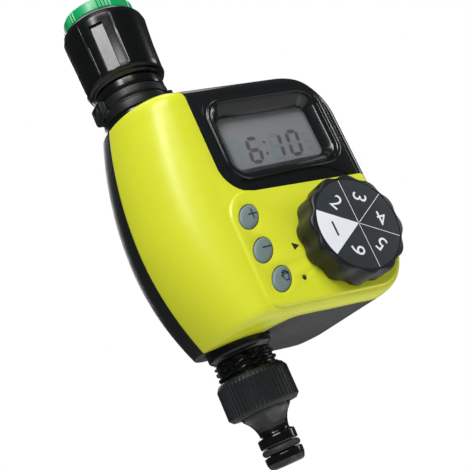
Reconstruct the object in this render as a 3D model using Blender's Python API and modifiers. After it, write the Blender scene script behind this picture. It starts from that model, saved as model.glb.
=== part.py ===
"""Single-outlet drip irrigation timer that screws onto a garden tap.

The valve axis is the world Z axis: water enters at the top of the green bush, which is the
origin, and leaves at the hose nipple below. The front faces -Y and the control box lies on
the +X side. Sizes are written in millimetres and scaled to metres where an object is made.
"""
import math

import bmesh
import bpy
from mathutils import Vector

MM = 0.001
GAP = 0.3                 # clearance between neighbouring pieces

# casing
TOP_Z = -62.8             # flat top of the casing
BASE_Z = -168.5           # underside below the valve
BASE_DROP = 0.108         # slope of the underside to the right of the valve
DROP_END_X = 50.0
FRONT_Y = 36.0
REAR_Y = 35.0
RIGHT_X = 77.3
TOP_CORNER_R = 24.7
BASE_CORNER_R = 23.0
BULGE_R = 29.3            # widest radius of the bulge around the valve
BULGE_Z = -119.3
BULGE_SLIM_UP = 0.0028
BULGE_SLIM_DOWN = 0.0041
TOP_EDGE_R = 7.0
BASE_EDGE_R = 4.5
FRONT_CORNER_R = 5.0
REAR_CORNER_R = 12.0
REAR_FLAT_X = 30.0        # where the flat back begins
WALL = 2.4
PARTING_Y = -5.0
LEVELS = 16
# below the bezel the rear casing reaches forward to this plan curve of (x, y) points
PARTING_CURVE = ((4.4, -4.2), (6.5, -13.0), (8.5, -20.0), (11.5, -25.5), (16.0, -27.7), (24.0, -28.2))
POST_ROOT_Y = -34.8       # where the free posts grow out of the front wall

# display
PAD_RISE = 0.8
BEZEL_X = 3.3
BEZEL_BASE_Z = -115.6
BEZEL_SLOPE = 0.05
WINDOW = (15.0, 62.4, -104.5, -79.2)
WINDOW_Y = -32.0
RIM_GROW = 5.5

# dial
DIAL_X = 46.7
DIAL_Z = -145.5
DIAL_R = 22.3
DIAL_BACK_Y = -37.4
DIAL_FACE_Y = -50.0
SCALLOPS = 12
SHAFT_R = 3.0

# buttons, as (name, x, z)
BUTTONS = (("button_plus", 6.95, -127.1), ("button_minus", 6.65, -142.1),
           ("button_manual", 9.2, -155.5))
BUTTON_LONG = 5.9
BUTTON_SHORT = 4.15
BUTTON_TILT = math.radians(48)
LIGHT_X = 19.8
LIGHT_Z = -157.7

# circuit board and what it carries
BOARD_FRONT_Y = -24.5
BOARD_BACK_Y = -22.9
BOARD_SCREWS = ((8.5, -81.0), (33.0, -156.0))

# casing screws, as (x, z): the first two hold the bezel, the next two stand on free posts of the
# front casing, the last one is in the bulge
CASING_SCREWS = ((22.0, -73.0), (68.0, -80.0), (67.5, -156.0), (21.5, -163.0), (-20.5, -119.0))
BOSS_R = 3.2
SCREW_HOLE_R = 1.7

# valve
VALVE_Z = -118.0
PORT_FACE_X = 17.5
BORE_R = 7.0
BONNET_SCREW_CIRCLE = 17.2

# batteries
CELL_R = 7.1
CELL_LENGTH = 49.2
CELLS_X = (42.75, 57.25)
CELL_Y = 22.0
DOOR = (34.4, 65.6, -151.4, -92.4)
HINGE_Y = 36.6
HINGE_Z = -154.2
KNUCKLE_R = 2.0

FRONT_FACING = (math.pi / 2, 0.0, 0.0)     # local Z becomes world -Y
ALONG_X = (0.0, math.pi / 2, 0.0)          # local Z becomes world +X


# ---------------------------------------------------------------- helpers
def clear_scene():
    for ob in list(bpy.data.objects):
        bpy.data.objects.remove(ob, do_unlink=True)


def new_collection(name):
    collection = bpy.data.collections.new(name)
    bpy.context.scene.collection.children.link(collection)
    return collection


clear_scene()
PARTS = new_collection("drip_irrigation_timer")
CUTTERS = new_collection("cutters")


def material(name, colour, roughness, metallic=0.0):
    mat = bpy.data.materials.new(name)
    mat.use_nodes = True
    mat.diffuse_color = (*colour, 1.0)
    shader = mat.node_tree.nodes["Principled BSDF"]
    shader.inputs["Base Color"].default_value = (*colour, 1.0)
    shader.inputs["Roughness"].default_value = roughness
    shader.inputs["Metallic"].default_value = metallic
    return mat


LIME = ("lime_plastic", (0.70, 0.80, 0.03), 0.4)
BLACK = ("black_plastic", (0.02, 0.022, 0.025), 0.35)
GREY = ("grey_plastic", (0.20, 0.27, 0.27), 0.5)
GREEN = ("green_plastic", (0.0, 0.36, 0.12), 0.4)
RUBBER = ("black_rubber", (0.03, 0.03, 0.03), 0.8)
STEEL = ("steel", (0.6, 0.6, 0.62), 0.3, 1.0)
COPPER = ("copper", (0.72, 0.35, 0.2), 0.35, 1.0)
BOARD = ("circuit_board_green", (0.02, 0.16, 0.06), 0.5)
CLEAR = ("clear_plastic", (0.55, 0.58, 0.58), 0.1)
CREAM = ("cream_plastic", (0.75, 0.72, 0.62), 0.5)
CELL = ("battery_wrap", (0.10, 0.14, 0.20), 0.3)


def mesh_object(name, bm, collection=CUTTERS):
    """A mesh object from a bmesh in millimetres."""
    bmesh.ops.scale(bm, vec=(MM, MM, MM), verts=bm.verts)
    bmesh.ops.recalc_face_normals(bm, faces=bm.faces)
    mesh = bpy.data.meshes.new(name)
    bm.to_mesh(mesh)
    bm.free()
    ob = bpy.data.objects.new(name, mesh)
    collection.objects.link(ob)
    return ob


def as_part(ob, paint, name=None):
    """Makes an object a named part with its own material."""
    if name:
        ob.name = name
    for collection in list(ob.users_collection):
        collection.objects.unlink(ob)
    PARTS.objects.link(ob)
    ob.data.materials.append(material(f"{ob.name}_{paint[0]}", *paint[1:]))
    return ob


def place(ob, at, turn=(0.0, 0.0, 0.0)):
    ob.location = Vector(at) * MM
    ob.rotation_euler = turn
    return ob


def combine(ob, other, operation):
    """Adds a Boolean with another object, which is kept as a hidden cutter."""
    other.hide_render = True
    other.display_type = "WIRE"
    step = ob.modifiers.new(f"{operation.lower()} {other.name}", "BOOLEAN")
    step.operation = operation
    step.solver = "EXACT"
    step.object = other
    return ob


def cut(ob, *others):
    for other in others:
        combine(ob, other, "DIFFERENCE")


def add(ob, *others):
    for other in others:
        combine(ob, other, "UNION")


def keep_inside(ob, *others):
    for other in others:
        combine(ob, other, "INTERSECT")


def box(name, low, high):
    """A box between two opposite corners."""
    bm = bmesh.new()
    bmesh.ops.create_cube(bm, size=1.0)
    size = [b - a for a, b in zip(low, high)]
    middle = [(a + b) / 2 for a, b in zip(low, high)]
    bmesh.ops.scale(bm, vec=size, verts=bm.verts)
    bmesh.ops.translate(bm, vec=middle, verts=bm.verts)
    return mesh_object(name, bm)


def rod(name, radius, start, end, steps=24):
    """A cylinder between two points that differ along one axis."""
    run = Vector(end) - Vector(start)
    bm = bmesh.new()
    bmesh.ops.create_cone(bm, cap_ends=True, segments=steps, radius1=radius, radius2=radius, depth=run.length)
    turn = run.to_track_quat("Z", "Y").to_matrix()
    bmesh.ops.rotate(bm, matrix=turn, verts=bm.verts)
    bmesh.ops.translate(bm, vec=(Vector(start) + Vector(end)) / 2, verts=bm.verts)
    return mesh_object(name, bm)


def turned(name, profile, steps=48, ring=False):
    """A turned solid from (radius, height) points down its outer side; a ring's profile is closed."""
    bm = bmesh.new()
    points = [bm.verts.new((r, 0.0, z)) for r, z in profile]
    for a, b in zip(points, points[1:]):
        bm.edges.new((a, b))
    if ring:
        bm.edges.new((points[-1], points[0]))
    ob = mesh_object(name, bm)
    spin = ob.modifiers.new("turn", "SCREW")
    spin.axis = "Z"
    spin.steps = steps
    spin.render_steps = steps
    spin.use_merge_vertices = True
    spin.merge_threshold = 0.00001
    return ob


def loft(name, sections):
    """A closed solid through rings of points that all have the same count."""
    bm = bmesh.new()
    rings = [[bm.verts.new(p) for p in section] for section in sections]
    count = len(rings[0])
    for low, high in zip(rings, rings[1:]):
        for i in range(count):
            j = (i + 1) % count
            bm.faces.new((low[i], low[j], high[j], high[i]))
    bm.faces.new(rings[0])
    bm.faces.new(rings[-1])
    bmesh.ops.triangulate(bm, faces=bm.faces)
    return mesh_object(name, bm)


def arc(centre, radii, start, end, count):
    """Points of an elliptical arc, angles in degrees."""
    angles = [math.radians(start + (end - start) * i / count) for i in range(count + 1)]
    return [(centre[0] + radii[0] * math.cos(a), centre[1] + radii[1] * math.sin(a)) for a in angles]


def rounded_outline(corners, segments=6):
    """Outline through (x, z, radius) corners, each corner rounded to its radius."""
    points = []
    count = len(corners)
    for i, (x, z, radius) in enumerate(corners):
        here = Vector((x, z))
        if radius == 0:
            points.append((x, z))
            continue
        before = (Vector(corners[i - 1][:2]) - here).normalized()
        after = (Vector(corners[(i + 1) % count][:2]) - here).normalized()
        half = before.angle(after) / 2
        centre = here + (before + after).normalized() * (radius / math.sin(half))
        first = here + before * (radius / math.tan(half)) - centre
        last = here + after * (radius / math.tan(half)) - centre
        sweep = first.angle_signed(last)
        for k in range(segments + 1):
            a = -sweep * k / segments
            spoke = Vector((first.x * math.cos(a) - first.y * math.sin(a),
                            first.x * math.sin(a) + first.y * math.cos(a)))
            points.append(tuple(centre + spoke))
    return points


def prism(name, outline, near_y, far_y):
    """An (x, z) outline carried along Y."""
    return loft(name, [[(x, y, z) for x, z in outline] for y in (near_y, far_y)])


def plan_block(name, outline, low_z, high_z):
    """An (x, y) outline carried along Z."""
    return loft(name, [[(x, y, z) for x, y in outline] for z in (low_z, high_z)])


def rectangle(x0, x1, z0, z1, radius, segments=4):
    return rounded_outline([(x0, z0, radius), (x1, z0, radius), (x1, z1, radius), (x0, z1, radius)], segments)


def coil(name, radius, wire, start, length, turns, taper=0.0):
    """A compression spring along +Z of its own frame."""
    curve = bpy.data.curves.new(name, "CURVE")
    curve.dimensions = "3D"
    curve.bevel_depth = wire * MM
    curve.bevel_resolution = 1
    curve.use_fill_caps = True
    steps = int(turns * 8)
    spline = curve.splines.new("POLY")
    spline.points.add(steps)
    for i, point in enumerate(spline.points):
        share = i / steps
        a = 2 * math.pi * turns * share
        r = radius - taper * share
        point.co = (r * math.cos(a) * MM, r * math.sin(a) * MM, (start + length * share) * MM, 1.0)
    ob = bpy.data.objects.new(name, curve)
    CUTTERS.objects.link(ob)
    return ob


# ---------------------------------------------------------------- casing form
def edge_fall(depth, radius):
    """How far a rounded edge falls back at a depth from the flat."""
    if depth >= radius:
        return 0.0
    return radius - math.sqrt(radius * radius - (radius - max(depth, 0.0)) ** 2)


def bulge_radius(z):
    rise = z - BULGE_Z
    slim = BULGE_SLIM_UP if rise > 0 else BULGE_SLIM_DOWN
    return BULGE_R - slim * rise * rise


def casing_section(z, inset):
    """Plan outline of the casing at one level, from the far left round by the front."""
    below_top = TOP_Z - inset - z
    above_base = z - BASE_Z - inset
    fall = max(edge_fall(below_top, TOP_EDGE_R - inset), edge_fall(above_base, BASE_EDGE_R - inset))
    front = FRONT_Y - inset - fall
    rear = REAR_Y - inset - fall
    left = bulge_radius(z) - inset
    corner = max(edge_fall(below_top, TOP_CORNER_R - inset), edge_fall(above_base, BASE_CORNER_R - inset))
    right = RIGHT_X - inset - corner
    front_r = FRONT_CORNER_R - inset
    rear_r = REAR_CORNER_R - inset
    start_x = -2.0
    points = arc((start_x, 0.0), (left + start_x, front), 180, 270, 7)
    points += [(start_x + (right - front_r - start_x) * k / 3, -front) for k in (1, 2)]
    points += arc((right - front_r, front_r - front), (front_r, front_r), 270, 360, 2)
    points += arc((right - rear_r, rear - rear_r), (rear_r, rear_r), 0, 90, 3)
    points += [(REAR_FLAT_X + (right - rear_r - REAR_FLAT_X) * k / 2, rear) for k in (1, 0)]
    points += [(REAR_FLAT_X / 2, (rear + left) / 2)]
    points += arc((0.0, 0.0), (left, left), 90, 180, 7)[:-1]
    return points


def base_drop(x, z):
    """How far the sloping underside pulls a point down."""
    share = min(max((BULGE_Z - z) / (BULGE_Z - BASE_Z), 0.0), 1.0)
    return BASE_DROP * min(max(x, 0.0), DROP_END_X) * share


def casing_form(name, inset=0.0):
    top = TOP_Z - inset
    base = BASE_Z + inset
    sections = []
    for i in range(LEVELS + 1):
        z = (top + base) / 2 + (top - base) / 2 * math.cos(math.pi * i / LEVELS)
        sections.append([(x, y, z - base_drop(x, z)) for x, y in casing_section(z, inset)])
    return loft(name, sections)


def bezel_outline(grow):
    """The part of the front that the display bezel covers."""
    left = BEZEL_X - grow
    base = BEZEL_BASE_Z - grow
    far = RIGHT_X + 3
    return rounded_outline([(left, TOP_Z + 6, 0), (left, base, 13.5 + grow),
                            (far, base - BEZEL_SLOPE * far, 0), (far, TOP_Z + 6, 0)], 8)


def neck_openings(ob, name):
    """Clearance in a casing half for the inlet neck above and the outlet spout below."""
    cut(ob, rod(f"{name}_neck_hole", 17.3, (0, 0, TOP_Z - 5), (0, 0, TOP_Z + 3), 48))
    cut(ob, rod(f"{name}_spout_hole", 14.5, (0, 0, BASE_Z - 3), (0, 0, BASE_Z + 5), 48))


def hollow_form(name, solids):
    """The inside of the casing, less the posts and frames that stay solid in it."""
    ob = casing_form(name, WALL)
    cut(ob, *solids)
    return ob


def front_post(name, x, z, root_y=-60.0):
    return rod(name, BOSS_R, (x, root_y, z), (x, PARTING_Y - 0.2, z), 16)


def front_pilot(ob, name, x, z):
    cut(ob, rod(name, SCREW_HOLE_R, (x, -20.0, z), (x, PARTING_Y + 1, z), 12))


def board_post(name, x, z, root_y=-60.0):
    return rod(name, 2.4, (x, root_y, z), (x, BOARD_FRONT_Y - GAP, z), 12)


def board_pilot(ob, name, x, z):
    cut(ob, rod(name, 1.3, (x, -32.0, z), (x, BOARD_FRONT_Y + 1, z), 12))


def front_half(name):
    return box(name, (-60, -60, BASE_Z - 20), (110, PARTING_Y, TOP_Z + 20))


def front_casing():
    ob = as_part(casing_form("front_casing"), LIME)
    pad = rounded_outline([(-0.8, -115.0, 12), (-0.8, -165.6, 6.5), (73.0, -172.0, 17), (73.0, -118.6, 0)], 7)
    add(ob, prism("control_pad", pad, -FRONT_Y - PAD_RISE, -FRONT_Y + 1.2))
    edge = [(x - GAP, y - GAP) for x, y in PARTING_CURVE[1:]]
    block = [(-60, PARTING_Y), (-60, -60), (110, -60), (110, edge[-1][1])]
    block += edge[::-1] + [(PARTING_CURVE[0][0] - GAP, PARTING_Y)]
    keep_inside(ob, plan_block("front_casing_half", block, BASE_Z - 20, TOP_Z + 20))
    cut(ob, hollow_form("front_casing_hollow", [front_post("bulge_post", *CASING_SCREWS[4])]))
    for i, (x, z) in enumerate(CASING_SCREWS[2:4]):
        add(ob, front_post(f"front_post_{i}", x, z, POST_ROOT_Y))
    add(ob, board_post("front_board_post", *BOARD_SCREWS[1], POST_ROOT_Y))
    for i, (x, z) in enumerate(CASING_SCREWS[2:]):
        front_pilot(ob, f"front_pilot_{i}", x, z)
    board_pilot(ob, "front_board_pilot", *BOARD_SCREWS[1])
    cut(ob, prism("bezel_clearance", bezel_outline(GAP), -60, 10))
    neck_openings(ob, "front")
    for name, x, z in BUTTONS:
        cut(ob, button_solid(f"{name}_hole", x, z, GAP, -42, -28))
    cut(ob, rod("shaft_hole", SHAFT_R + 0.8, (DIAL_X, -42, DIAL_Z), (DIAL_X, -30, DIAL_Z)))
    cut(ob, rod("light_hole", 1.2, (LIGHT_X, -42, LIGHT_Z), (LIGHT_X, -30, LIGHT_Z), 12))


def display_bezel():
    ob = as_part(casing_form("display_bezel"), BLACK)
    keep_inside(ob, front_half("bezel_half"), prism("bezel_field", bezel_outline(0.0), -60, 10))
    x0, x1, z0, z1 = WINDOW
    solids = [front_post(f"bezel_post_{i}", x, z) for i, (x, z) in enumerate(CASING_SCREWS[:2])]
    solids.append(board_post("bezel_board_post", *BOARD_SCREWS[0]))
    solids.append(box("window_frame", (x0 - 6, -60, z0 - 6), (x1 + 6, WINDOW_Y + GAP, z1 + 6)))
    cut(ob, hollow_form("bezel_hollow", solids))
    for i, (x, z) in enumerate(CASING_SCREWS[:2]):
        front_pilot(ob, f"bezel_pilot_{i}", x, z)
    board_pilot(ob, "bezel_board_pilot", *BOARD_SCREWS[0])
    rings = []
    for y, grow in ((-29.0, 0.0), (WINDOW_Y, 0.0), (-37.0, RIM_GROW)):
        outline = rectangle(x0 - grow, x1 + grow, z0 - grow, z1 + grow, 4.0 + grow * 0.8)
        rings.append([(x, y, z) for x, z in outline])
    cut(ob, loft("window_funnel", rings))
    neck_openings(ob, "bezel")


def rear_casing():
    ob = as_part(casing_form("rear_casing"), BLACK)
    step = plan_block("rear_step", [*PARTING_CURVE, (105, PARTING_CURVE[-1][1]), (105, -1.0), (4.4, -1.0)],
                      BASE_Z - 18, BEZEL_BASE_Z + 15)
    cut(step, prism("bezel_space", bezel_outline(GAP), -60, 5))
    half = box("rear_half", (-60, PARTING_Y + GAP, BASE_Z - 20), (110, 60, TOP_Z + 20))
    add(half, step)
    keep_inside(ob, half)
    bosses = [rod(f"rear_boss_{i}", 4.2, (x, PARTING_Y + GAP, z), (x, 60, z), 20)
              for i, (x, z) in enumerate(CASING_SCREWS)]
    neck_openings(ob, "rear")
    cut(ob, hollow_form("rear_hollow", bosses))
    for i, (x, z) in enumerate(CASING_SCREWS):
        cut(ob, rod(f"rear_well_{i}", 3.1, (x, 2.0, z), (x, 62, z), 16))
        cut(ob, rod(f"rear_hole_{i}", SCREW_HOLE_R, (x, -8, z), (x, 4, z), 12))
    x0, x1, z0, z1 = DOOR
    cut(ob, box("door_opening", (x0 - 0.4, 30, z0 - 0.4), (x1 + 0.4, 40, z1 + 0.4)))
    cut(ob, box("knuckle_opening", (41.7, 30, -156.8), (58.3, 40, -150)))
    for side, (a, b) in {"left": (37.5, 41.7), "right": (58.3, 62.5)}.items():
        lug = rod(f"hinge_lug_{side}", KNUCKLE_R, (a, HINGE_Y, HINGE_Z), (b, HINGE_Y, HINGE_Z), 16)
        foot = box(f"hinge_foot_{side}", (a, 33.5, HINGE_Z - 2), (b, HINGE_Y, HINGE_Z + 1.9))
        add(ob, foot, lug)
    cut(ob, rod("hinge_bore", 1.1, (30, HINGE_Y, HINGE_Z), (70, HINGE_Y, HINGE_Z), 12))


# ---------------------------------------------------------------- inlet
def thread_bush():
    """Green reducer: a ribbed flange over a male thread, with a smaller female thread inside."""
    profile = [(17.2, -0.6), (17.2, -5.6), (16.6, -6.0), (13.1, -6.0), (13.1, -20.0), (12.6, -20.5),
               (7.0, -20.5), (7.0, -16.0), (9.5, -16.0), (9.5, -0.8), (10.3, 0.0), (16.6, 0.0)]
    as_part(turned("thread_bush", profile, 32, ring=True), GREEN)


def washer(name, outer, inner, top, thickness):
    profile = [(outer, top), (outer, top - thickness), (inner, top - thickness), (inner, top)]
    as_part(turned(name, profile, 28, ring=True), RUBBER)


def inlet_nut():
    profile = [(16.8, -6.3), (17.4, -6.6), (20.5, -11.3), (19.3, -36.5), (18.6, -38.8), (16.6, -41.3),
               (14.5, -41.3), (14.5, -30.0), (15.6, -29.9), (15.6, -23.6), (13.5, -23.5), (13.5, -6.3)]
    ob = as_part(turned("inlet_nut", profile, 36, ring=True), BLACK)
    for i in range(4):
        angle = math.radians(45 + 90 * i)
        facet = box(f"nut_facet_{i}", (18.7, -4.0, -35.0), (23.0, 4.0, -12.5))
        facet.rotation_euler = (0.0, 0.0, angle)
        cut(ob, facet)


def filter_screen():
    profile = [(0.0, -37.2), (4.7, -37.2), (5.8, -23.9), (8.6, -23.9), (8.6, -25.3), (6.5, -25.3),
               (5.4, -38.0), (0.0, -38.0)]
    as_part(turned("filter_screen", profile, 24), STEEL)


def inlet_clip():
    """Locking ring on the neck, with a lug on each side."""
    ring = [(16.0, -46.6), (16.7, -47.4), (16.7, -50.6), (16.0, -51.4), (16.0, -52.2), (16.9, -53.0),
            (16.9, -57.0), (14.4, -57.0), (14.4, -46.6)]
    ob = as_part(turned("inlet_clip", ring, 36, ring=True), BLACK)
    left = box("clip_lug_left", (-19.4, -4.5, -56.0), (-15.3, 7.5, -45.4))
    right = box("clip_lug_right", (15.3, -7.5, -55.0), (18.6, 5.0, -46.0))
    add(ob, left, right)


# ---------------------------------------------------------------- valve
def valve_body():
    """Inlet neck, diaphragm chamber and threaded outlet moulded as one."""
    thread = []
    z = -174.2
    while z > -187.0:
        thread += [(13.2, z), (13.2, z - 1.3), (12.2, z - 2.0), (12.2, z - 2.6)]
        z -= 3.2
    profile = [(15.2, -23.7), (15.2, -29.4), (14.1, -29.6), (14.1, -41.8), (15.2, -42.4), (15.4, -43.6),
               (15.2, -45.6), (14.1, -46.2), (14.1, -57.3), (16.9, -57.4), (16.9, -66.0), (14.1, -67.0),
               (14.1, -160.5), (16.2, -161.0), (16.2, -165.6), (14.2, -165.8), (14.2, -170.5),
               (16.0, -170.6), (16.0, -171.8), (14.9, -173.0), (13.2, -173.6)]
    profile += thread + [(12.6, -190.0), (0.0, -190.0)]
    ob = as_part(turned("valve_body", [(0.0, -23.7)] + profile, 28), BLACK)
    add(ob, rod("chamber", 19.0, (6, 0, VALVE_Z), (PORT_FACE_X, 0, VALVE_Z), 40))
    top_bore = rod("inlet_bore", BORE_R, (0, 0, -20), (0, 0, -106))
    seat = rod("filter_seat", 9.0, (0, 0, -20), (0, 0, -25.7))
    passage = rod("inlet_passage", 2.8, (0, 0, VALVE_Z + 13), (20, 0, VALVE_Z + 13), 16)
    port = rod("valve_port", 5.5, (-4, 0, VALVE_Z), (20, 0, VALVE_Z))
    outlet = rod("outlet_bore", BORE_R, (0, 0, VALVE_Z), (0, 0, -200))
    groove = turned("pressure_ring", [(15.5, 8.0), (15.5, -5.0), (10.5, -5.0), (10.5, 8.0)], 40, ring=True)
    place(groove, (PORT_FACE_X, 0, VALVE_Z), ALONG_X)
    cut(ob, top_bore, seat, passage, port, outlet, groove)
    for i, (y, z) in enumerate(bonnet_screw_places()):
        cut(ob, rod(f"valve_screw_hole_{i}", SCREW_HOLE_R, (9.5, y, z), (20, y, z), 12))


def bonnet_screw_places():
    angles = [math.radians(45 + 90 * i) for i in range(4)]
    return [(BONNET_SCREW_CIRCLE * math.cos(a), VALVE_Z + BONNET_SCREW_CIRCLE * math.sin(a)) for a in angles]


def solenoid():
    """Diaphragm, bonnet, coil, plunger and spring, all on the X axis of the valve port."""
    at = (0, 0, VALVE_Z)
    diaphragm = as_part(turned("diaphragm", [(0, 19.3), (19.0, 19.3), (19.0, 17.8), (0, 17.8)], 28), RUBBER)
    place(diaphragm, at, ALONG_X)
    profile = [(0, 45.0), (5.0, 45.0), (5.0, 24.5), (19.0, 24.5), (19.0, 19.6), (9.0, 19.6), (9.0, 22.0),
               (3.4, 22.0), (3.4, 43.4), (0, 43.4)]
    bonnet = as_part(turned("valve_bonnet", profile, 28), BLACK)
    place(bonnet, at, ALONG_X)
    for i, (y, z) in enumerate(bonnet_screw_places()):
        hole = rod(f"bonnet_hole_{i}", SCREW_HOLE_R, (15, y, z), (30, y, z), 12)
        cut(diaphragm, hole)
        cut(bonnet, hole)
        screw = turned(f"bonnet_screw_{i + 1}", [(0, 26.6), (2.3, 26.6), (2.7, 26.0), (2.7, 24.8), (1.4, 24.8),
                                                 (1.4, 11.0), (0, 10.0)], 16)
        place(as_part(screw, STEEL), (0, y, z), ALONG_X)
    coil_profile = [(10.0, 41.0), (11.0, 40.0), (11.0, 28.0), (10.0, 27.0), (5.4, 27.0), (5.4, 41.0)]
    place(as_part(turned("solenoid_coil", coil_profile, 36, ring=True), COPPER), at, ALONG_X)
    plunger = [(0, 38.0), (2.4, 38.0), (3.0, 37.4), (3.0, 23.4), (2.0, 20.6), (0, 20.6)]
    place(as_part(turned("plunger", plunger, 24), STEEL), at, ALONG_X)
    spring = as_part(coil("plunger_spring", 2.2, 0.3, 38.7, 4.0, 3), STEEL)
    place(spring, at, ALONG_X)


# ---------------------------------------------------------------- outlet
def outlet_connector():
    nut = [(13.8, -182.0), (14.6, -182.6), (15.8, -184.8), (15.8, -196.9), (14.2, -198.4), (11.3, -198.4),
           (11.3, -195.0), (13.6, -195.0), (13.6, -182.0)]
    as_part(turned("outlet_nut", nut, 36, ring=True), BLACK)
    washer("outlet_washer", 12.6, 7.5, -190.3, 2.2)
    nipple = [(13.0, -192.8), (13.0, -194.7), (11.0, -194.9), (10.9, -198.8), (10.2, -200.2), (8.6, -201.6),
              (7.4, -203.6), (6.6, -205.6), (6.3, -207.6), (6.6, -208.2), (7.9, -208.7), (8.1, -209.4),
              (8.1, -211.8), (7.8, -212.4), (5.3, -212.5), (5.3, -216.6), (7.7, -216.7), (8.2, -217.3),
              (8.1, -219.2), (7.4, -221.2), (6.4, -221.8), (4.4, -221.8), (4.0, -221.2), (4.0, -198.0),
              (7.0, -192.8)]
    as_part(turned("hose_nipple", nipple, 24, ring=True), BLACK)
    bpy.ops.mesh.primitive_torus_add(major_radius=7.1 * MM, minor_radius=1.45 * MM, major_segments=24,
                                     minor_segments=8, location=(0, 0, -214.55 * MM))
    as_part(bpy.context.object, RUBBER, "nipple_seal")


# ---------------------------------------------------------------- controls
def dial_outline(scale, depth):
    """Scalloped outline of the dial; depth is how deep the finger scallops are."""
    points = []
    for i in range(SCALLOPS * 4):
        a = 2 * math.pi * i / (SCALLOPS * 4)
        scallop = depth * max(0.0, math.cos(SCALLOPS * a)) ** 0.7
        r = DIAL_R * scale + 0.5 - scallop
        points.append((r * math.cos(a), r * math.sin(a)))
    return points


def dial():
    thickness = DIAL_BACK_Y - DIAL_FACE_Y
    levels = ((0.0, 1.0, 1.2), (0.8, 1.015, 1.2), (thickness - 1.4, 1.01, 1.1), (thickness - 0.4, 0.995, 0.8),
              (thickness, 0.975, 0.5))
    rings = []
    for height, scale, depth in levels:
        rings.append([(x, y, height) for x, y in dial_outline(scale, depth)])
    knob = as_part(loft("dial_knob", rings), BLACK)
    place(knob, (DIAL_X, DIAL_BACK_Y, DIAL_Z), FRONT_FACING)
    under = turned("knob_hollow", [(19.0, 9.5), (19.0, -2), (6.0, -2), (6.0, 9.5)], 40, ring=True)
    place(under, (DIAL_X, DIAL_BACK_Y, DIAL_Z), FRONT_FACING)
    bore = rod("knob_bore", SHAFT_R + GAP, (DIAL_X, -30, DIAL_Z), (DIAL_X, -47, DIAL_Z))
    seat = rod("label_seat", 20.6, (DIAL_X, DIAL_FACE_Y + 0.9, DIAL_Z), (DIAL_X, -55, DIAL_Z), 48)
    cut(knob, under, bore, seat)
    label = as_part(turned("dial_label", [(0, 0.55), (20.3, 0.55), (20.3, 0.0), (0, 0.0)], 48), BLACK)
    place(label, (DIAL_X, DIAL_FACE_Y + 0.6, DIAL_Z), FRONT_FACING)
    shaft = as_part(turned("dial_shaft", [(0, 21.0), (2.6, 21.0), (SHAFT_R, 20.6), (SHAFT_R, 0), (0, 0)], 24), CREAM)
    place(shaft, (DIAL_X, -25.7, DIAL_Z), FRONT_FACING)
    body = box("rotary_switch", (DIAL_X - 7, -31.5, DIAL_Z - 7), (DIAL_X + 7, BOARD_FRONT_Y - GAP, DIAL_Z + 7))
    as_part(body, CREAM)
    cut(body, rod("switch_bore", SHAFT_R + GAP, (DIAL_X, -35, DIAL_Z), (DIAL_X, -25.4, DIAL_Z)))


def button_outline(grow):
    points = []
    for x, z in arc((0, 0), (BUTTON_LONG + grow, BUTTON_SHORT + grow), 0, 360, 24)[:-1]:
        points.append((x * math.cos(BUTTON_TILT) - z * math.sin(BUTTON_TILT),
                       x * math.sin(BUTTON_TILT) + z * math.cos(BUTTON_TILT)))
    return points


def button_solid(name, x, z, grow, near_y, far_y):
    return prism(name, [(x + dx, z + dz) for dx, dz in button_outline(grow)], near_y, far_y)


def button(name, x, z):
    """Oval key cap with a hidden rim and a stem over its own switch."""
    levels = ((-37.6, -0.7), (-37.2, -0.1), (-36.6, 0.0), (-33.2, 0.0), (-33.1, 0.9), (-32.0, 0.9))
    rings = [[(x + dx, y, z + dz) for dx, dz in button_outline(grow)] for y, grow in levels]
    cap = as_part(loft(name, rings), GREY)
    add(cap, rod(f"{name}_stem", 1.6, (x, -33, z), (x, -28.6, z), 16))
    switch = name.replace("button", "switch")
    as_part(box(switch, (x - 3, -26.8, z - 3), (x + 3, BOARD_FRONT_Y - GAP, z + 3)), BLACK)


def light_guide():
    profile = [(0, 11.6), (0.7, 11.6), (0.9, 11.4), (0.9, 8.0), (1.8, 8.0), (1.8, 6.8), (1.2, 6.8), (1.2, 0),
               (0, 0)]
    guide = as_part(turned("light_guide", profile, 16), CLEAR)
    place(guide, (LIGHT_X, BOARD_FRONT_Y - 0.4, LIGHT_Z), FRONT_FACING)


# ---------------------------------------------------------------- display and circuit board
def display():
    x0, x1, z0, z1 = WINDOW
    pane = rectangle(x0 - 1.8, x1 + 1.8, z0 - 1.8, z1 + 1.8, 2.0)
    as_part(prism("display_window", pane, -31.4, -30.2), CLEAR)
    as_part(box("lcd_panel", (x0 - 1.8, -29.9, z0 - 2.4), (x1 + 1.8, -26.9, z1 + 2.2)), GREY)
    board = as_part(box("circuit_board", (4.0, BOARD_FRONT_Y, -159.4), (63.5, BOARD_BACK_Y, -78.0)), BOARD)
    for i, (x, z) in enumerate(BOARD_SCREWS):
        cut(board, rod(f"board_hole_{i}", 1.3, (x, -28, z), (x, -20, z), 12))
        screw = turned(f"board_screw_{i + 1}", [(0, 8.0), (1.0, 7.4), (1.0, 0.0), (2.2, 0.0), (2.4, -0.4),
                                                (2.2, -1.4), (0, -1.4)], 16)
        place(as_part(screw, STEEL), (x, BOARD_BACK_Y + GAP, z), FRONT_FACING)
    add(board, box("timer_chip", (24, BOARD_BACK_Y - 0.2, -128), (38, BOARD_BACK_Y + 1.6, -114)))


def casing_screws():
    for i, (x, z) in enumerate(CASING_SCREWS):
        profile = [(0, 20.6), (1.0, 19.8), (1.4, 18.6), (1.4, 0.0), (2.4, 0.0), (2.7, -0.6), (2.3, -1.7),
                   (0, -1.9)]
        screw = as_part(turned(f"casing_screw_{i + 1}", profile, 16), STEEL)
        place(screw, (x, 2.3, z), FRONT_FACING)


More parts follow.
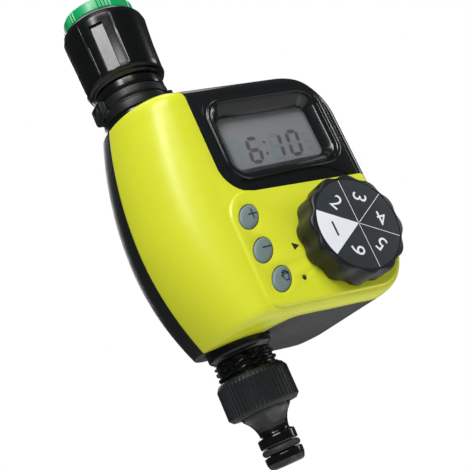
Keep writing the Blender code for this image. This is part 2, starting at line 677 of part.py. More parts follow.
# ---------------------------------------------------------------- battery compartment
def battery_compartment():
    x0, x1, z0, z1 = DOOR
    tray = as_part(box("battery_tray", (34.0, 12.6, -151.3), (66.0, 31.6, -92.5)), BLACK)
    cut(tray, box("tray_hollow", (35.4, 14.0, -149.9), (64.6, 40, -93.9)))
    seal = as_part(box("battery_seal", (x0 + 0.3, 31.9, z0 + 0.3), (x1 - 0.3, 32.7, z1 - 0.3)), RUBBER)
    cut(seal, box("seal_hollow", (x0 + 2, 25, z0 + 2), (x1 - 2, 45, z1 - 2)))
    for i, x in enumerate(CELLS_X):
        up = i == 0
        profile = [(0, CELL_LENGTH / 2 + 1), (2.6, CELL_LENGTH / 2 + 1), (2.6, CELL_LENGTH / 2),
                   (CELL_R - 0.3, CELL_LENGTH / 2), (CELL_R, CELL_LENGTH / 2 - 0.4), (CELL_R, -CELL_LENGTH / 2),
                   (0, -CELL_LENGTH / 2)]
        cell = as_part(turned(f"battery_{i + 1}", profile, 32), CELL)
        middle = -95.2 - 1 - CELL_LENGTH / 2 if up else -148.6 + 1 + CELL_LENGTH / 2
        place(cell, (x, CELL_Y, middle), (0, 0, 0) if up else (math.pi, 0, 0))
        spring = as_part(coil(f"contact_spring_{i + 1}", 4.2, 0.35, 0.0, 2.4, 2.5, 1.8), STEEL)
        if up:
            place(spring, (x, CELL_Y, -149.2), (0, 0, 0))
            plate_z = -94.2
        else:
            place(spring, (x, CELL_Y, -94.6), (math.pi, 0, 0))
            plate_z = -149.1
        plate = box(f"contact_plate_{i + 1}", (x - 4, CELL_Y - 4, plate_z - 0.5), (x + 4, CELL_Y + 4, plate_z))
        as_part(plate, STEEL)


def battery_door():
    x0, x1, z0, z1 = DOOR
    door = as_part(box("battery_door", (x0, 33.0, z0), (x1, REAR_Y, z1)), BLACK)
    add(door, box("door_arm", (42.0, 33.6, HINGE_Z), (58.0, REAR_Y - 0.05, z0 + 1)))
    add(door, rod("door_knuckle", KNUCKLE_R, (42.0, HINGE_Y, HINGE_Z), (58.0, HINGE_Y, HINGE_Z), 16))
    add(door, box("door_web", (42.0, 34.2, HINGE_Z - 0.8), (58.0, HINGE_Y, HINGE_Z + 1.9)))
    cut(door, rod("door_bore", 1.1, (30, HINGE_Y, HINGE_Z), (70, HINGE_Y, HINGE_Z), 12))
    cut(door, box("finger_notch", (45.0, 34.2, z1 - 3), (55.0, 40.0, z1 + 3)))
    as_part(rod("hinge_pin", 0.8, (37.8, HINGE_Y, HINGE_Z), (62.2, HINGE_Y, HINGE_Z), 12), STEEL)


front_casing()
display_bezel()
rear_casing()
thread_bush()
washer("tap_washer", 9.2, 6.0, -13.6, 2.1)
washer("inlet_washer", 13.1, 8.0, -20.8, 2.5)
inlet_nut()
filter_screen()
inlet_clip()
valve_body()
solenoid()
outlet_connector()
dial()
for button_name, button_x, button_z in BUTTONS:
    button(button_name, button_x, button_z)
light_guide()
display()
casing_screws()
battery_compartment()
battery_door()
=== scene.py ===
"""Looks of the drip irrigation timer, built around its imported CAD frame.

Sizes are in millimetres, in the frame of the CAD model: the valve axis is Z, the front faces -Y
and the control box lies on the +X side. They are scaled to metres where an object is made.
"""
import math

import bmesh
import bpy
from mathutils import Matrix, Vector


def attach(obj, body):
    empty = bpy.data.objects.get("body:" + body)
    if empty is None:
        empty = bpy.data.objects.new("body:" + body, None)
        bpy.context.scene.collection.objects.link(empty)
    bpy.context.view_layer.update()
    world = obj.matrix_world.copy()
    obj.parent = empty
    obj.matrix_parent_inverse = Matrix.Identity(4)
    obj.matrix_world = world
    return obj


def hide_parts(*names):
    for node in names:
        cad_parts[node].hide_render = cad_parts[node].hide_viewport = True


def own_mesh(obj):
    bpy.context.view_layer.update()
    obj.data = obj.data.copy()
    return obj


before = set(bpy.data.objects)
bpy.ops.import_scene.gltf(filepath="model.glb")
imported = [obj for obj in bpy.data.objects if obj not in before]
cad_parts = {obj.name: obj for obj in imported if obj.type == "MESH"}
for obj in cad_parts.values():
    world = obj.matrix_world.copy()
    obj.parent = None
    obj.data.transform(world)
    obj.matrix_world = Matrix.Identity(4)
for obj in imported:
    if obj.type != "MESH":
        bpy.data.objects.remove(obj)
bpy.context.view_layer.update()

MM = 0.001

# casing
TOP_Z = -62.8
BASE_Z = -168.5
BASE_DROP = 0.108
DROP_END_X = 50.0
FRONT_Y = 36.0
REAR_Y = 35.0
RIGHT_X = 77.3
TOP_CORNER_R = 24.7
BASE_CORNER_R = 23.0
BULGE_R = 29.3
BULGE_Z = -119.3
BULGE_SLIM_UP = 0.0028
BULGE_SLIM_DOWN = 0.0041
TOP_EDGE_R = 7.0
BASE_EDGE_R = 4.5
FRONT_CORNER_R = 5.0
REAR_CORNER_R = 12.0
REAR_FLAT_X = 30.0
WALL = 2.4
PARTING_Y = -5.0
PARTING_CURVE = ((4.4, -4.2), (6.5, -13.0), (8.5, -20.0), (11.5, -25.5), (16.0, -27.7), (24.0, -28.2))
GAP = 0.3
PAD_Y = -36.8

BEZEL_X = 3.3
BEZEL_BASE_Z = -115.6
BEZEL_SLOPE = 0.05
WINDOW = (15.0, 62.4, -104.5, -79.2)
WINDOW_Y = -32.0

FACET_TURN = 54           # degrees from +X to the middle of a grip facet of the inlet nut
DIAL = Vector((46.7, -37.4, -145.5))
DIAL_FACE = 12.6          # height of the dial's face above its back
LABEL_R = 20.3
KNOB_R = 23.1
SCALLOP_DEPTH = 1.4
SCALLOPS = 12
DIGIT_R = 12.6            # distance of the dial's digits from its centre
BUTTONS = {"plus": (6.95, -127.1), "minus": (6.65, -142.1), "manual": (9.2, -155.5)}
BUTTON_LONG = 5.9
BUTTON_SHORT = 4.15
BUTTON_TILT = math.radians(48)
LIGHT = (19.8, -157.7)
CASING_SCREWS = ((22.0, -73.0), (68.0, -80.0), (67.5, -156.0), (21.5, -163.0), (-20.5, -119.0))
BOARD_SCREWS = ((8.5, -81.0), (33.0, -156.0))
VALVE_Z = -118.0
PORT_FACE_X = 17.5
DOOR = (34.4, 65.6, -151.4, -92.4)
HINGE = (36.6, -154.2)    # y and z of the battery door's hinge
KNUCKLE_R = 2.0

# camera fitted to the photo; its focal length is for a sensor 36 mm wide
CAMERA_ANGLES = (-33.49, -14.79, -23.99)    # azimuth, elevation and roll, in degrees
CAMERA_LENS = 62.83
CAMERA_TARGET = (21.53, 0, -121.48)
CAMERA_DISTANCE = 370

FRONT_FACING = Matrix.Rotation(math.pi / 2, 4, "X")    # local Z becomes -Y
ALONG_X = Matrix.Rotation(math.pi / 2, 4, "Y")         # local Z becomes +X


# ---------------------------------------------------------------- materials
def node(mat, kind, **values):
    made = mat.node_tree.nodes.new(kind)
    for key, value in values.items():
        if key in made.inputs:
            made.inputs[key].default_value = value
        else:
            setattr(made, key, value)
    return made


def wire(mat, source, target):
    mat.node_tree.links.new(source, target)


def surface(name, colour, roughness, tone=0.08, drift=45.0, grain=2600.0, relief=0.12, scuff=0.0,
            stretch=(1, 1, 1), **sockets):
    """Moulded or drawn material: slow colour drift, uneven gloss, fine surface grain and faint scuffs."""
    mat = bpy.data.materials.new(name)
    mat.use_nodes = True
    shader = mat.node_tree.nodes["Principled BSDF"]
    for key, value in sockets.items():
        shader.inputs[key.replace("_", " ")].default_value = value
    place = node(mat, "ShaderNodeTexCoord").outputs["Object"]
    if stretch != (1, 1, 1):
        mapping = node(mat, "ShaderNodeMapping", Scale=stretch)
        wire(mat, place, mapping.inputs["Vector"])
        place = mapping.outputs["Vector"]
    slow = node(mat, "ShaderNodeTexNoise", Scale=drift, Detail=4.0)
    wire(mat, place, slow.inputs["Vector"])
    ramp = node(mat, "ShaderNodeValToRGB")
    ramp.color_ramp.elements[0].position = 0.3
    ramp.color_ramp.elements[1].position = 0.7
    ramp.color_ramp.elements[0].color = (*[c * (1 - tone) for c in colour], 1)
    ramp.color_ramp.elements[1].color = (*[c * (1 + tone) for c in colour], 1)
    wire(mat, slow.outputs["Fac"], ramp.inputs["Fac"])
    wire(mat, ramp.outputs["Color"], shader.inputs["Base Color"])
    fine = node(mat, "ShaderNodeTexNoise", Scale=grain, Detail=3.0)
    wire(mat, place, fine.inputs["Vector"])
    gloss = node(mat, "ShaderNodeTexNoise", Scale=drift * 5, Detail=5.0, Distortion=0.6)
    wire(mat, place, gloss.inputs["Vector"])
    spread = node(mat, "ShaderNodeMapRange")
    spread.inputs["From Min"].default_value = 0.3
    spread.inputs["From Max"].default_value = 0.7
    spread.inputs["To Min"].default_value = roughness * 0.88
    spread.inputs["To Max"].default_value = roughness * 1.12
    wire(mat, gloss.outputs["Fac"], spread.inputs["Value"])
    rough = spread.outputs["Result"]
    if scuff:
        marks = node(mat, "ShaderNodeTexNoise", Scale=420.0, Detail=2.0)
        streak = node(mat, "ShaderNodeMapping", Scale=(1.0, 0.25, 0.06))
        streak.inputs["Rotation"].default_value = (0.4, 0.3, 0.7)
        wire(mat, place, streak.inputs["Vector"])
        wire(mat, streak.outputs["Vector"], marks.inputs["Vector"])
        mask = node(mat, "ShaderNodeMapRange")
        mask.inputs["From Min"].default_value = 0.66
        mask.inputs["From Max"].default_value = 0.74
        mask.inputs["To Max"].default_value = scuff
        wire(mat, marks.outputs["Fac"], mask.inputs["Value"])
        total = node(mat, "ShaderNodeMath", operation="ADD")
        wire(mat, rough, total.inputs[0])
        wire(mat, mask.outputs["Result"], total.inputs[1])
        rough = total.outputs["Value"]
    wire(mat, rough, shader.inputs["Roughness"])
    bump = node(mat, "ShaderNodeBump", Strength=relief, Distance=0.0001)
    wire(mat, fine.outputs["Fac"], bump.inputs["Height"])
    wire(mat, bump.outputs["Normal"], shader.inputs["Normal"])
    return mat


LIME = surface("lime_plastic", (0.685, 0.728, 0.030), 0.34, tone=0.02, relief=0.10, scuff=0.05,
               Specular_IOR_Level=0.45)
BLACK = surface("black_plastic", (0.0085, 0.0100, 0.0098), 0.40, tone=0.15, grain=3400.0, relief=0.22,
                scuff=0.08, Specular_IOR_Level=0.30)
GLOSS = surface("gloss_black_plastic", (0.0038, 0.0045, 0.0044), 0.21, tone=0.15, relief=0.05, scuff=0.05,
                Specular_IOR_Level=0.42)
BEZEL = surface("bezel_plastic", (0.0075, 0.0090, 0.0095), 0.17, tone=0.12, relief=0.03, scuff=0.05)
DIAL_BLACK = surface("dial_plastic", (0.0105, 0.0120, 0.0130), 0.38, tone=0.12, grain=3400.0, relief=0.20,
                     scuff=0.06, Specular_IOR_Level=0.35)
LABEL = surface("label_film", (0.028, 0.034, 0.039), 0.46, tone=0.06, grain=4200.0, relief=0.08,
                Specular_IOR_Level=0.30)
INK = surface("white_ink", (0.80, 0.83, 0.87), 0.50, tone=0.03, grain=5000.0, relief=0.05)
MARK = surface("black_ink", (0.018, 0.020, 0.022), 0.55, tone=0.1, grain=5000.0, relief=0.05)
GREEN = surface("green_plastic", (0.0, 0.37, 0.115), 0.33, tone=0.05, relief=0.10, scuff=0.05)
NUT = surface("nut_plastic", (0.0105, 0.0135, 0.0135), 0.44, tone=0.15, grain=3000.0, relief=0.25, scuff=0.08,
              Specular_IOR_Level=0.32)
NIPPLE = surface("nipple_plastic", (0.0030, 0.0038, 0.0040), 0.16, tone=0.15, relief=0.04, scuff=0.04)
KEY = surface("grey_rubber", (0.165, 0.225, 0.222), 0.52, tone=0.04, grain=3600.0, relief=0.20)
RUBBER = surface("black_rubber", (0.018, 0.018, 0.019), 0.68, tone=0.12, grain=2400.0, relief=0.35)
STEEL = surface("zinc_steel", (0.60, 0.61, 0.63), 0.26, tone=0.08, grain=1500.0, relief=0.10, scuff=0.12,
                Metallic=1.0)
MESH = surface("woven_steel", (0.50, 0.50, 0.51), 0.38, tone=0.25, drift=900.0, grain=1800.0, relief=0.8,
               Metallic=1.0)
COPPER = surface("enamelled_copper", (0.60, 0.22, 0.10), 0.25, tone=0.22, drift=120.0, grain=700.0, relief=0.7,
                 stretch=(8, 1, 1), Metallic=1.0)
BOARD = surface("solder_mask", (0.012, 0.14, 0.05), 0.30, tone=0.25, drift=260.0, grain=1200.0, relief=0.25)
CREAM = surface("cream_plastic", (0.72, 0.68, 0.57), 0.45, tone=0.04, relief=0.15)
WRAP = surface("cell_wrap", (0.05, 0.10, 0.20), 0.25, tone=0.05, drift=90.0, relief=0.05, scuff=0.06)
SMOKE = surface("smoked_plastic", (0.030, 0.034, 0.036), 0.14, tone=0.05, relief=0.03)
GLASS = surface("liquid_crystal_glass", (0.165, 0.170, 0.176), 0.50, tone=0.03, drift=70.0, grain=4500.0,
                relief=0.05, Specular_IOR_Level=0.08)
SEGMENT = surface("lcd_segment", (0.024, 0.022, 0.034), 0.60, tone=0.05, grain=5000.0, relief=0.03,
                  Specular_IOR_Level=0.05)
GHOST = surface("lcd_ghost", (0.120, 0.168, 0.195), 0.55, tone=0.04, grain=5000.0, relief=0.03,
                Specular_IOR_Level=0.05)
PANE = surface("clear_pane", (0.80, 0.83, 0.83), 0.05, tone=0.02, relief=0.02, Alpha=0.05)


# ---------------------------------------------------------------- making pieces
def mesh_object(name, bm):
    """An object from a bmesh in millimetres."""
    bmesh.ops.scale(bm, vec=(MM, MM, MM), verts=bm.verts)
    bmesh.ops.recalc_face_normals(bm, faces=bm.faces)
    mesh = bpy.data.meshes.new(name)
    bm.to_mesh(mesh)
    bm.free()
    ob = bpy.data.objects.new(name, mesh)
    bpy.context.scene.collection.objects.link(ob)
    return ob


def settle(ob):
    """Applies an object's modifiers."""
    bpy.context.view_layer.update()
    whole = ob.evaluated_get(bpy.context.evaluated_depsgraph_get())
    mesh = bpy.data.meshes.new_from_object(whole)
    ob.modifiers.clear()
    ob.data = mesh
    return ob


def combine(ob, other, operation):
    step = ob.modifiers.new(operation, "BOOLEAN")
    step.operation = operation
    step.solver = "EXACT"
    step.object = other
    settle(ob)
    bpy.data.objects.remove(other)


def cut(ob, *others):
    for other in others:
        combine(ob, other, "DIFFERENCE")


def add(ob, *others):
    for other in others:
        combine(ob, other, "UNION")


def soften(ob, width, angle=35.0, segments=2):
    """Rounds the sharp edges of a cut solid."""
    bm = bmesh.new()
    bm.from_mesh(ob.data)
    bmesh.ops.remove_doubles(bm, verts=bm.verts, dist=0.02 * MM)
    bmesh.ops.dissolve_limit(bm, angle_limit=math.radians(0.1), verts=bm.verts, edges=bm.edges)
    bm.to_mesh(ob.data)
    bm.free()
    step = ob.modifiers.new("soften", "BEVEL")
    step.width = width * MM
    step.segments = segments
    step.limit_method = "ANGLE"
    step.angle_limit = math.radians(angle)
    step.use_clamp_overlap = False
    step.miter_outer = "MITER_ARC"
    return settle(ob)


def part(ob, body, mat, replaces=None, crease=34.0):
    """Gives a finished mesh its material, its smooth shading and the CAD body it rides on."""
    if not ob.data.materials:
        ob.data.materials.append(mat)
    ob.data.shade_smooth()
    ob.data.set_sharp_from_angle(angle=math.radians(crease))
    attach(ob, body)
    if replaces:
        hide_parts(replaces)
    return ob


def trim(ob, body, mat):
    """A small added piece, given its material, smooth shading and CAD body."""
    part(ob, body, mat)


def skin(name, rings, closed=False):
    """A skin through rings of points; the ends are capped, or the rings close on themselves."""
    bm = bmesh.new()
    rows = [[bm.verts.new(p) for p in ring] for ring in rings]
    pairs = list(zip(rows, rows[1:]))
    if closed:
        pairs.append((rows[-1], rows[0]))
    count = len(rows[0])
    for low, high in pairs:
        for i in range(count):
            j = (i + 1) % count
            bm.faces.new((low[i], low[j], high[j], high[i]))
    if not closed:
        bm.faces.new(rows[0])
        bm.faces.new(rows[-1])
    return mesh_object(name, bm)


def loft(name, rings):
    """A capped skin in triangles, which Booleans cut cleanly."""
    ob = skin(name, rings)
    bm = bmesh.new()
    bm.from_mesh(ob.data)
    bmesh.ops.triangulate(bm, faces=bm.faces)
    bm.to_mesh(ob.data)
    bm.free()
    return ob


def rods(name, items, steps=32):
    """Separate cylinders in one mesh, each (radius, start, end) along one axis."""
    bm = bmesh.new()
    for radius, start, end in items:
        run = Vector(end) - Vector(start)
        made = bmesh.ops.create_cone(bm, cap_ends=True, segments=steps, radius1=radius, radius2=radius,
                                     depth=run.length)
        turn = run.to_track_quat("Z", "Y").to_matrix()
        bmesh.ops.rotate(bm, matrix=turn, verts=made["verts"])
        bmesh.ops.translate(bm, vec=(Vector(start) + Vector(end)) / 2, verts=made["verts"])
    return mesh_object(name, bm)


def boxes(name, items):
    """Separate boxes in one mesh, each (low corner, high corner)."""
    bm = bmesh.new()
    for low, high in items:
        made = bmesh.ops.create_cube(bm, size=1.0)
        bmesh.ops.scale(bm, vec=[b - a for a, b in zip(low, high)], verts=made["verts"])
        bmesh.ops.translate(bm, vec=[(a + b) / 2 for a, b in zip(low, high)], verts=made["verts"])
    return mesh_object(name, bm)


def filleted(points, radius, closed=True, steps=4):
    """The outline with its corners rounded, each to the radius or as far as its edges allow."""
    result = []
    count = len(points)
    for i, point in enumerate(points):
        here = Vector(point)
        if not closed and i in (0, count - 1):
            result.append(tuple(here))
            continue
        before = Vector(points[i - 1]) - here
        after = Vector(points[(i + 1) % count]) - here
        turn = math.pi - before.angle(after)
        if turn < 0.12:
            result.append(tuple(here))
            continue
        reach = min(radius * math.tan(turn / 2), 0.45 * before.length, 0.45 * after.length)
        first = here + before.normalized() * reach
        last = here + after.normalized() * reach
        for k in range(steps + 1):
            t = k / steps
            result.append(tuple(first * (1 - t) ** 2 + here * 2 * t * (1 - t) + last * t * t))
    return result


def turned(name, profile, steps, radius, shape=None):
    """A turned piece from (radius, height) points; shape may change a radius round the axis."""
    outline = filleted(profile, radius)
    bm = bmesh.new()
    columns = []
    for i in range(steps):
        a = 2 * math.pi * i / steps
        column = []
        for r, z in outline:
            rr = shape(r, z, a) if shape else r
            column.append(bm.verts.new((rr * math.cos(a), rr * math.sin(a), z)))
        columns.append(column)
    count = len(outline)
    for i in range(steps):
        a, b = columns[i], columns[(i + 1) % steps]
        for k in range(count):
            m = (k + 1) % count
            bm.faces.new((a[k], b[k], b[m], a[m]))
    return mesh_object(name, bm)


def moved(ob, turn, at):
    """Moves a mesh's points, so that its object stays at the origin."""
    ob.data.transform(Matrix.Translation(Vector(at) * MM) @ turn)
    return ob


def arc(centre, radii, start, end, count):
    angles = [math.radians(start + (end - start) * i / count) for i in range(count + 1)]
    return [(centre[0] + radii[0] * math.cos(a), centre[1] + radii[1] * math.sin(a)) for a in angles]


def rounded(corners, segments=12):
    """Outline through (x, z, radius) corners, each rounded to its radius."""
    points = []
    count = len(corners)
    for i, (x, z, radius) in enumerate(corners):
        here = Vector((x, z))
        if radius == 0:
            points.append((x, z))
            continue
        before = (Vector(corners[i - 1][:2]) - here).normalized()
        after = (Vector(corners[(i + 1) % count][:2]) - here).normalized()
        half = before.angle(after) / 2
        centre = here + (before + after).normalized() * (radius / math.sin(half))
        first = here + before * (radius / math.tan(half)) - centre
        last = here + after * (radius / math.tan(half)) - centre
        sweep = first.angle_signed(last)
        for k in range(segments + 1):
            a = -sweep * k / segments
            points.append((centre.x + first.x * math.cos(a) - first.y * math.sin(a),
                           centre.y + first.x * math.sin(a) + first.y * math.cos(a)))
    return points


def rectangle(x0, x1, z0, z1, radius, segments=10):
    return rounded([(x0, z0, radius), (x1, z0, radius), (x1, z1, radius), (x0, z1, radius)], segments)


def prism(name, outline, near_y, far_y):
    """An (x, z) outline carried along Y."""
    return loft(name, [[(x, y, z) for x, z in outline] for y in (near_y, far_y)])


def plan_block(name, outline, low_z, high_z):
    """An (x, y) outline carried along Z."""
    return loft(name, [[(x, y, z) for x, y in outline] for z in (low_z, high_z)])


# ---------------------------------------------------------------- casing form
def edge_fall(depth, radius):
    """How far a rounded edge falls back at a depth from the flat."""
    if depth >= radius:
        return 0.0
    return radius - math.sqrt(radius * radius - (radius - max(depth, 0.0)) ** 2)


def bulge_radius(z):
    rise = z - BULGE_Z
    slim = BULGE_SLIM_UP if rise > 0 else BULGE_SLIM_DOWN
    return BULGE_R - slim * rise * rise


def casing_section(z, inset, fine):
    """Plan outline of the casing at one level, from the far left round by the front."""
    below_top = TOP_Z - inset - z
    above_base = z - BASE_Z - inset
    fall = max(edge_fall(below_top, TOP_EDGE_R - inset), edge_fall(above_base, BASE_EDGE_R - inset))
    front = FRONT_Y - inset - fall
    rear = REAR_Y - inset - fall
    left = bulge_radius(z) - inset
    corner = max(edge_fall(below_top, TOP_CORNER_R - inset), edge_fall(above_base, BASE_CORNER_R - inset))
    right = RIGHT_X - inset - corner
    front_r = FRONT_CORNER_R - inset
    rear_r = REAR_CORNER_R - inset
    start_x = -2.0
    points = arc((start_x, 0.0), (left + start_x, front), 180, 270, 14 * fine)
    points += [(start_x + (right - front_r - start_x) * k / 3, -front) for k in (1, 2)]
    points += arc((right - front_r, front_r - front), (front_r, front_r), 270, 360, 4 * fine)
    points += arc((right - rear_r, rear - rear_r), (rear_r, rear_r), 0, 90, 6 * fine)
    points += [(REAR_FLAT_X + (right - rear_r - REAR_FLAT_X) * k / 2, rear) for k in (1, 0)]
    points += [(REAR_FLAT_X / 2, (rear + left) / 2)]
    points += arc((0.0, 0.0), (left, left), 90, 180, 14 * fine)[:-1]
    return points


def base_drop(x, z):
    """How far the sloping underside pulls a point down."""
    share = min(max((BULGE_Z - z) / (BULGE_Z - BASE_Z), 0.0), 1.0)
    return BASE_DROP * min(max(x, 0.0), DROP_END_X) * share


def casing_form(name, inset=0.0, levels=72, fine=2):
    top = TOP_Z - inset
    base = BASE_Z + inset
    rings = []
    for i in range(levels + 1):
        z = (top + base) / 2 + (top - base) / 2 * math.cos(math.pi * i / levels)
        rings.append([(x, y, z - base_drop(x, z)) for x, y in casing_section(z, inset, fine)])
    return loft(name, rings)


def hollow(name):
    return casing_form(name, WALL, 32, 1)


def bezel_outline(grow):
    left = BEZEL_X - grow
    base = BEZEL_BASE_Z - grow
    far = RIGHT_X + 3
    return rounded([(left, TOP_Z + 6, 0), (left, base, 13.5 + grow),
                    (far, base - BEZEL_SLOPE * far, 0), (far, TOP_Z + 6, 0)], 16)


def half_box(name, y0, y1):
    return boxes(name, [((-60, y0, BASE_Z - 20), (110, y1, TOP_Z + 20))])


def neck_openings(ob):
    cut(ob, rods("openings", [(17.3, (0, 0, TOP_Z - 5), (0, 0, TOP_Z + 3)),
                              (14.5, (0, 0, BASE_Z - 3), (0, 0, BASE_Z + 5))], 72))


def button_outline(grow, steps=40):
    points = []
    for x, z in arc((0, 0), (BUTTON_LONG + grow, BUTTON_SHORT + grow), 0, 360, steps)[:-1]:
        points.append((x * math.cos(BUTTON_TILT) - z * math.sin(BUTTON_TILT),
                       x * math.sin(BUTTON_TILT) + z * math.cos(BUTTON_TILT)))
    return points


def posts(screws, boards):
    """The casing's inside, less the posts that stay solid in it."""
    inside = hollow("inside")
    items = [(3.2, (x, -60, z), (x, PARTING_Y - 0.2, z)) for x, z in screws]
    items += [(2.4, (x, -60, z), (x, -24.8, z)) for x, z in boards]
    cut(inside, rods("posts", items, 20))
    return inside


def pilots(ob, screws, boards):
    items = [(1.7, (x, -20, z), (x, PARTING_Y + 1, z)) for x, z in screws]
    items += [(1.3, (x, -32, z), (x, -23.5, z)) for x, z in boards]
    cut(ob, rods("pilots", items, 16))


def front_casing():
    ob = casing_form("casing_front")
    rings = []
    for grow, y in ((0.3, -34.8), (0.3, -36.0), (0.1, -36.25), (-0.1, -36.55), (-0.4, -36.74), (-0.8, PAD_Y)):
        outline = rounded([(-0.8 - grow, -115 + grow, 12), (-0.8 - grow, -165.6 - grow, 6.5),
                           (73 + grow, -172 - grow, 17), (73 + grow, -118.6 + grow, 0)], 14)
        rings.append([(x, y, z) for x, z in outline])
    add(ob, loft("pad", rings))
    edge = [(x - GAP, y - GAP) for x, y in PARTING_CURVE[1:]]
    block = [(-60, PARTING_Y), (-60, -60), (110, -60), (110, edge[-1][1])]
    block += edge[::-1] + [(PARTING_CURVE[0][0] - GAP, PARTING_Y)]
    combine(ob, plan_block("front_block", block, BASE_Z - 20, TOP_Z + 20), "INTERSECT")
    cut(ob, posts(CASING_SCREWS[4:], []))
    add(ob, rods("free_posts", [(3.2, (x, -34.8, z), (x, PARTING_Y - 0.2, z)) for x, z in CASING_SCREWS[2:4]]
                 + [(2.4, (x, -34.8, z), (x, -24.8, z)) for x, z in BOARD_SCREWS[1:]]))
    pilots(ob, CASING_SCREWS[2:], BOARD_SCREWS[1:])
    cut(ob, prism("bezel_field", bezel_outline(GAP), -60, 10))
    neck_openings(ob)
    for x, z in BUTTONS.values():
        cut(ob, prism("key_hole", [(x + dx, z + dz) for dx, dz in button_outline(GAP)], -42, -28))
    cut(ob, rods("holes", [(3.8, (DIAL.x, -42, DIAL.z), (DIAL.x, -30, DIAL.z)),
                           (1.2, (LIGHT[0], -42, LIGHT[1]), (LIGHT[0], -30, LIGHT[1]))]))
    soften(ob, 0.16)
    part(ob, "timer_body", LIME, "front_casing")


def display_bezel():
    ob = casing_form("bezel_front")
    field = rounded([(7.3, -70.5, 9), (7.3, -111.4, 9), (54.0, -111.4, 20), (71.2, -120.6, 0),
                     (71.2, -70.5, 10)], 14)
    plate = casing_form("plate", -0.75)
    combine(plate, prism("plate_field", field, -60, -30), "INTERSECT")
    add(ob, plate)
    combine(ob, half_box("bezel_half", -60, PARTING_Y), "INTERSECT")
    combine(ob, prism("bezel_field", bezel_outline(0.0), -60, 10), "INTERSECT")
    solids = posts(CASING_SCREWS[:2], BOARD_SCREWS[:1])
    x0, x1, z0, z1 = WINDOW
    cut(solids, boxes("frame", [((x0 - 6, -60, z0 - 6), (x1 + 6, WINDOW_Y + GAP, z1 + 6))]))
    cut(ob, solids)
    pilots(ob, CASING_SCREWS[:2], BOARD_SCREWS[:1])
    rim = []
    for y, grow in ((-34.5, 7.0), (-36.6, 7.0), (-37.15, 6.75), (-37.4, 6.3), (-37.4, 5.3), (-36.9, 4.7),
                    (-34.5, 4.5)):
        rim.append([(x, y, z) for x, z in rectangle(x0 - grow, x1 + grow, z0 - grow, z1 + grow, 3.0 + grow)])
    add(ob, skin("rim", rim, closed=True))
    funnel = []
    for y, grow in ((-29.0, 0.0), (-32.0, 0.0), (-32.3, 0.2), (-36.0, 3.6), (-36.9, 5.0), (-37.2, 5.6),
                    (-40, 5.9)):
        outline = rectangle(x0 - grow, x1 + 0.7 * grow, z0 - grow, z1 + grow, 3.2 + grow)
        funnel.append([(x, y, z) for x, z in outline])
    cut(ob, loft("funnel", funnel))
    neck_openings(ob)
    soften(ob, 0.25)
    part(ob, "timer_body", BEZEL, "display_bezel")


def rear_casing():
    ob = casing_form("casing_rear")
    step = plan_block("step", [*PARTING_CURVE, (105, PARTING_CURVE[-1][1]), (105, -1.0), (4.4, -1.0)],
                      BASE_Z - 18, BEZEL_BASE_Z + 15)
    cut(step, prism("bezel_space", bezel_outline(GAP), -60, 5))
    half = half_box("rear_half", PARTING_Y + GAP, 60)
    add(half, step)
    combine(ob, half, "INTERSECT")
    neck_openings(ob)
    inside = hollow("inside")
    cut(inside, rods("bosses", [(4.2, (x, PARTING_Y + GAP, z), (x, 60, z)) for x, z in CASING_SCREWS]))
    cut(ob, inside)
    cut(ob, rods("wells", [(3.1, (x, 2.0, z), (x, 62, z)) for x, z in CASING_SCREWS]))
    cut(ob, rods("through", [(1.7, (x, -8, z), (x, 4, z)) for x, z in CASING_SCREWS], 20))
    x0, x1, z0, z1 = DOOR
    y, z = HINGE
    cut(ob, boxes("door_opening", [((x0 - 0.4, 30, z0 - 0.4), (x1 + 0.4, 40, z1 + 0.4))]))
    cut(ob, boxes("knuckle_opening", [((41.7, 30, -156.8), (58.3, 40, -150))]))
    add(ob, boxes("feet", [((a, 33.5, z - 2), (b, y, z + 1.9)) for a, b in ((37.5, 41.7), (58.3, 62.5))]))
    add(ob, rods("lugs", [(KNUCKLE_R, (a, y, z), (b, y, z)) for a, b in ((37.5, 41.7), (58.3, 62.5))]))
    cut(ob, rods("hinge_bore", [(1.1, (30, y, z), (70, y, z))], 20))
    soften(ob, 0.28)
    part(ob, "timer_body", BLACK, "rear_casing")


# ---------------------------------------------------------------- inlet
def near_angle(a, step, offset=0.0):
    """Signed angle, in degrees, from the nearest of the directions a step apart."""
    d = (math.degrees(a) - offset) % step
    return d - step if d > step / 2 else d


